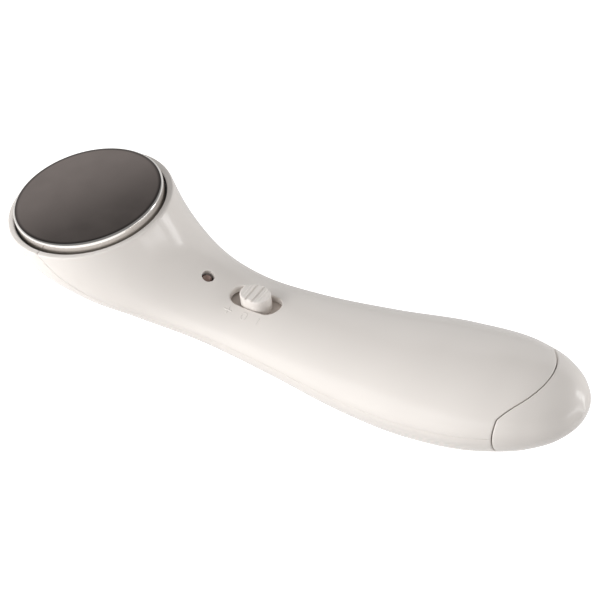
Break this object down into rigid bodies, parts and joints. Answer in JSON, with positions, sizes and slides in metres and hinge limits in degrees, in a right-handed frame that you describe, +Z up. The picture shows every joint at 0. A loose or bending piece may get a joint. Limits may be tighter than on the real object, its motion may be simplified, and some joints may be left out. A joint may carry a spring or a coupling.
{
  "type": "electronic cream applicator",
  "caption": "Handheld electric cream applicator with a round metal head, slide switch, indicator lamp, vibration motor and a pull-off battery cover.",
  "frame": {"origin": "on the surface that the applicator lies on, half way along its length and on its middle plane", "axes": "+X along the handle from the treatment head to the tail, +Z up, the middle plane is y = 0"},
  "size_m": [0.1853, 0.0486, 0.0379],
  "materials": {
    "shell": "glossy warm white moulded shell",
    "knob": "satin warm white",
    "plate": "polished, mirror-like",
    "carrier": "dark moulded",
    "silicone": "soft grey silicone",
    "frame": "dark moulded",
    "screw": "zinc plated",
    "motor_steel": "drawn steel can",
    "bell": "white nylon",
    "contact": "nickel plated spring brass",
    "weight": "sintered heavy metal",
    "shutter": "dark moulded",
    "lever": "black moulded",
    "switch_can": "nickel plated",
    "phenolic": "brown phenolic sheet",
    "lamp": "dark brown tinted epoxy",
    "tinned": "tinned wire",
    "board": "green solder mask",
    "chip": "black epoxy",
    "capacitor": "sleeved can",
    "resistor": "black film on ceramic",
    "tray": "white moulded",
    "cell": "sleeved cell",
    "wire_red": "soft insulation",
    "wire_black": "soft insulation"
  },
  "bodies": {
    "housing": {"upper_shell": "shell", "lower_shell": "shell", "treatment_plate": "plate", "plate_carrier": "carrier", "cushion_ring": "silicone", "head_frame": "frame", "carrier_screws": "screw", "motor_can": "motor_steel", "motor_end_bell": "bell", "motor_terminals": "contact", "motor_holder": "carrier", "holder_screws": "screw", "switch_frame": "switch_can", "switch_base": "phenolic", "indicator_lamp": "lamp", "lamp_legs": "tinned", "circuit_board": "board", "board_screws": "screw", "driver_chip": "chip", "capacitor": "capacitor", "drive_transistor": "chip", "resistors": "resistor", "battery_tray": "tray", "battery_a": "cell", "battery_b": "cell", "contact_plus": "contact", "contact_minus": "contact", "motor_lead_red": "wire_red", "motor_lead_black": "wire_black", "battery_lead_red": "wire_red", "battery_lead_black": "wire_black"},
    "switch": {"switch_knob": "knob", "switch_shutter": "shutter", "switch_lever": "lever"},
    "cover": {"battery_cover": "shell", "bridge_contact": "contact"},
    "rotor": {"motor_shaft": "motor_steel", "eccentric_weight": "weight"}
  },
  "joints": [
    {"name": "switch_slide", "type": "slide", "parent": "housing", "child": "switch", "axis": [0.9954, 0, 0.0958], "range_m": [-0.003, 0.003]},
    {"name": "cover_pull", "type": "slide", "parent": "housing", "child": "cover", "axis": [0.9703, 0, 0.2419], "range_m": [0, 0.025]},
    {"name": "motor_spin", "type": "hinge", "parent": "housing", "child": "rotor", "pos_m": [-0.06629, 0, 0.01485], "axis": [0.9692, 0, 0.2462], "continuous": true}
  ]
}
